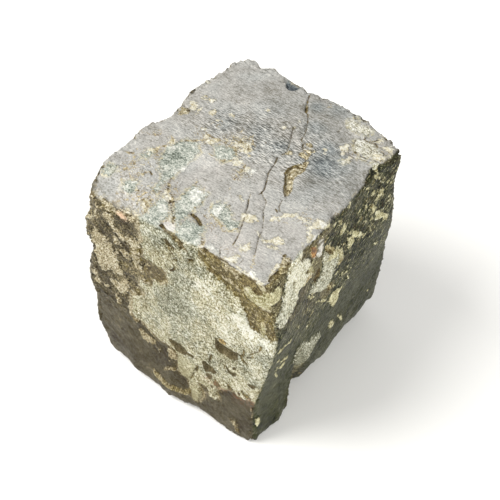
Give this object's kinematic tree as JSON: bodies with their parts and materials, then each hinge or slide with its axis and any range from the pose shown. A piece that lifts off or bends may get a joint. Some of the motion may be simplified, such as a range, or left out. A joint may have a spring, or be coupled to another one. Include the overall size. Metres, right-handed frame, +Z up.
{
  "type": "pyrite cube",
  "caption": "Rough natural pyrite cube, tarnished and striated, with a thin pale matrix crust over one face and worn, chipped rims.",
  "frame": {"origin": "on the resting plane, under the middle of the block's box", "axes": "+Z up, out of the striated top face; -Y out of the crusted front left face; +X out of the dark front right face"},
  "size_m": [0.0568, 0.0606, 0.0617],
  "materials": {
    "tarnished_pyrite": "satin"
  },
  "bodies": {
    "root": {"pyrite_cube": "tarnished_pyrite"}
  },
  "joints": []
}
